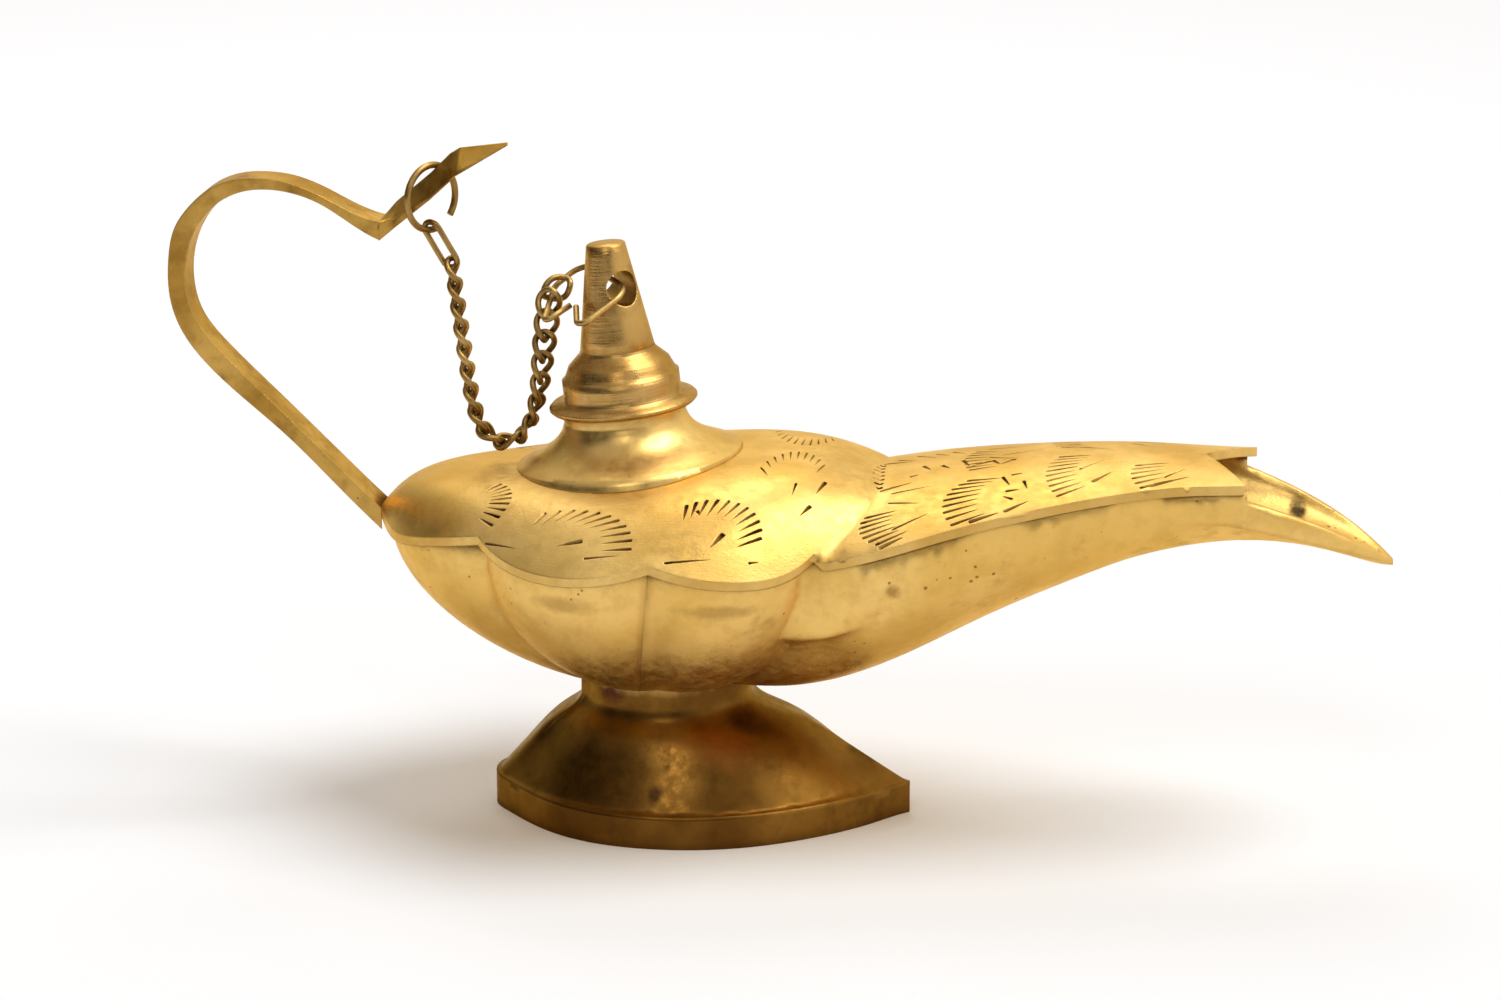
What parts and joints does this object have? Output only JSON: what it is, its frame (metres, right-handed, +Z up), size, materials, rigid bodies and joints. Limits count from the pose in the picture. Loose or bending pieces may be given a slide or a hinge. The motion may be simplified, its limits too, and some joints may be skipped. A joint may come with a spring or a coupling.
{
  "type": "oil lamp",
  "caption": "Genie oil lamp of brass: lobed bowl with a long open spout, arched cover, pull-off stopper cap on a chain, bent strip handle and a hollow foot.",
  "frame": {"origin": "on the floor, below the middle of the lamp's length and width", "axes": "+X towards the spout's tip, +Y to the far side, +Z up"},
  "size_m": [0.1562, 0.055, 0.0872],
  "materials": {
    "polished_brass": "satin brushed, lightly pitted",
    "dark_brass": "satin with dark brown lacquer",
    "handle_brass": "dull, rolled",
    "cap_brass": "satin turned, browned",
    "wire_brass": "dull, tarnished"
  },
  "bodies": {
    "lamp": {"lower_shell": "polished_brass", "upper_shell": "polished_brass", "neck": "polished_brass", "foot": "dark_brass", "handle": "handle_brass"},
    "cap": {"cap": "cap_brass"},
    "cap_ring": {"cap_ring": "wire_brass"},
    "handle_ring": {"handle_ring": "wire_brass"},
    "hook_link": {"hook_link": "wire_brass"},
    "link_01": {"link_01": "wire_brass"},
    "link_02": {"link_02": "wire_brass"},
    "link_03": {"link_03": "wire_brass"},
    "link_04": {"link_04": "wire_brass"},
    "link_05": {"link_05": "wire_brass"},
    "link_06": {"link_06": "wire_brass"},
    "link_07": {"link_07": "wire_brass"},
    "link_08": {"link_08": "wire_brass"},
    "link_09": {"link_09": "wire_brass"},
    "link_10": {"link_10": "wire_brass"},
    "link_11": {"link_11": "wire_brass"},
    "link_12": {"link_12": "wire_brass"},
    "link_13": {"link_13": "wire_brass"},
    "link_14": {"link_14": "wire_brass"},
    "link_15": {"link_15": "wire_brass"},
    "link_16": {"link_16": "wire_brass"},
    "link_17": {"link_17": "wire_brass"},
    "link_18": {"link_18": "wire_brass"}
  },
  "joints": [
    {"name": "cap_lift", "type": "slide", "parent": "lamp", "child": "cap", "axis": [-0.1045, 0, 0.9945], "range_m": [0, 0.004]},
    {"name": "chain_swing", "type": "hinge", "parent": "lamp", "child": "handle_ring", "pos_m": [-0.04422, 0, 0.08361], "axis": [0.6981, 0.0567, -0.7137], "range_deg": [-4, 4]},
    {"name": "cap_ring_tilt", "type": "hinge", "parent": "cap", "child": "cap_ring", "pos_m": [-0.02145, 0, 0.06928], "axis": [0.6626, -0.749, 0], "range_deg": [-0.2, 1.2]},
    {"name": "end_link_swing", "type": "hinge", "parent": "cap_ring", "child": "link_18", "pos_m": [-0.02929, 0.00348, 0.06744], "axis": [-0.0225, -0.9437, -0.33], "range_deg": [-1.7, 0.2]},
    {"name": "hook_link_swing", "type": "hinge", "parent": "handle_ring", "child": "hook_link", "pos_m": [-0.04422, 0, 0.07575], "axis": [0.0798, -0.9968, 0], "range_deg": [-1.7, 0.2]},
    {"name": "link_01_bend", "type": "hinge", "parent": "hook_link", "child": "link_01", "pos_m": [-0.04184, 0.00019, 0.07153], "axis": [0.0798, -0.9968, 0], "range_deg": [-0.2, 2.9]},
    {"name": "link_02_bend", "type": "hinge", "parent": "link_01", "child": "link_02", "pos_m": [-0.0415, 0.00022, 0.06877], "axis": [0.0798, -0.9968, 0], "range_deg": [-2.6, 0.2]},
    {"name": "link_03_bend", "type": "hinge", "parent": "link_02", "child": "link_03", "pos_m": [-0.04116, 0.00024, 0.06601], "axis": [0.0798, -0.9968, 0], "range_deg": [-0.2, 2.61]},
    {"name": "link_04_bend", "type": "hinge", "parent": "link_03", "child": "link_04", "pos_m": [-0.04082, 0.00027, 0.06325], "axis": [0.0798, -0.9968, 0], "range_deg": [-2.55, 0.2]},
    {"name": "link_05_bend", "type": "hinge", "parent": "link_04", "child": "link_05", "pos_m": [-0.04048, 0.0003, 0.06049], "axis": [0.0798, -0.9968, 0], "range_deg": [-0.2, 2.81]},
    {"name": "link_06_bend", "type": "hinge", "parent": "link_05", "child": "link_06", "pos_m": [-0.04013, 0.00033, 0.05773], "axis": [0.0798, -0.9968, 0], "range_deg": [-1.68, 0.2]},
    {"name": "link_07_bend", "type": "hinge", "parent": "link_06", "child": "link_07", "pos_m": [-0.03975, 0.00036, 0.05498], "axis": [0.0798, -0.9968, 0], "range_deg": [-0.2, 6.35]},
    {"name": "link_08_bend", "type": "hinge", "parent": "link_07", "child": "link_08", "pos_m": [-0.03922, 0.0004, 0.05225], "axis": [0.0798, -0.9968, 0], "range_deg": [-0.2, 10.17]},
    {"name": "link_09_bend", "type": "hinge", "parent": "link_08", "child": "link_09", "pos_m": [-0.03822, 0.00048, 0.04966], "axis": [0.0798, -0.9968, 0], "range_deg": [-0.2, 22.8]},
    {"name": "link_10_bend", "type": "hinge", "parent": "link_09", "child": "link_10", "pos_m": [-0.03604, 0.00065, 0.04794], "axis": [0.0798, -0.9968, 0], "range_deg": [-4.95, 0.2]},
    {"name": "link_11_bend", "type": "hinge", "parent": "link_10", "child": "link_11", "pos_m": [-0.03337, 0.00087, 0.04868], "axis": [0.0798, -0.9968, 0], "range_deg": [-17.42, 0.2]},
    {"name": "link_12_bend", "type": "hinge", "parent": "link_11", "child": "link_12", "pos_m": [-0.03192, 0.00099, 0.05105], "axis": [0.0798, -0.9968, 0], "range_deg": [-13.37, 0.2]},
    {"name": "link_13_bend", "type": "hinge", "parent": "link_12", "child": "link_13", "pos_m": [-0.03125, 0.00104, 0.05374], "axis": [0.0798, -0.9968, 0], "range_deg": [-1.27, 0.2]},
    {"name": "link_14_bend", "type": "hinge", "parent": "link_13", "child": "link_14", "pos_m": [-0.03082, 0.00107, 0.05649], "axis": [0.0798, -0.9968, 0], "range_deg": [-3.55, 0.2]},
    {"name": "link_15_bend", "type": "hinge", "parent": "link_14", "child": "link_15", "pos_m": [-0.03046, 0.0011, 0.05925], "axis": [0.0798, -0.9968, 0], "range_deg": [-0.2, 2.35]},
    {"name": "link_16_bend", "type": "hinge", "parent": "link_15", "child": "link_16", "pos_m": [-0.03012, 0.00113, 0.06201], "axis": [0.0798, -0.9968, 0], "range_deg": [-2.67, 0.2]},
    {"name": "link_17_bend", "type": "hinge", "parent": "link_16", "child": "link_17", "pos_m": [-0.02978, 0.00116, 0.06477], "axis": [0.0798, -0.9968, 0], "range_deg": [-0.2, 2.58]}
  ],
  "couplings": [
    {"joint": "cap_ring_tilt", "follows": "cap_lift", "rad_per_m": 4.3633},
    {"joint": "end_link_swing", "follows": "cap_lift", "rad_per_m": -6.545},
    {"joint": "hook_link_swing", "follows": "cap_lift", "rad_per_m": -6.545},
    {"joint": "link_01_bend", "follows": "cap_lift", "rad_per_m": 11.784},
    {"joint": "link_02_bend", "follows": "cap_lift", "rad_per_m": -10.462},
    {"joint": "link_03_bend", "follows": "cap_lift", "rad_per_m": 10.519},
    {"joint": "link_04_bend", "follows": "cap_lift", "rad_per_m": -10.263},
    {"joint": "link_05_bend", "follows": "cap_lift", "rad_per_m": 11.396},
    {"joint": "link_06_bend", "follows": "cap_lift", "rad_per_m": -6.4664},
    {"joint": "link_07_bend", "follows": "cap_lift", "rad_per_m": 26.832},
    {"joint": "link_08_bend", "follows": "cap_lift", "rad_per_m": 43.51},
    {"joint": "link_09_bend", "follows": "cap_lift", "rad_per_m": 98.598},
    {"joint": "link_10_bend", "follows": "cap_lift", "rad_per_m": -20.738},
    {"joint": "link_11_bend", "follows": "cap_lift", "rad_per_m": -75.144},
    {"joint": "link_12_bend", "follows": "cap_lift", "rad_per_m": -57.484},
    {"joint": "link_13_bend", "follows": "cap_lift", "rad_per_m": -4.6532},
    {"joint": "link_14_bend", "follows": "cap_lift", "rad_per_m": -14.635},
    {"joint": "link_15_bend", "follows": "cap_lift", "rad_per_m": 9.3743},
    {"joint": "link_16_bend", "follows": "cap_lift", "rad_per_m": -10.758},
    {"joint": "link_17_bend", "follows": "cap_lift", "rad_per_m": 10.398}
  ]
}
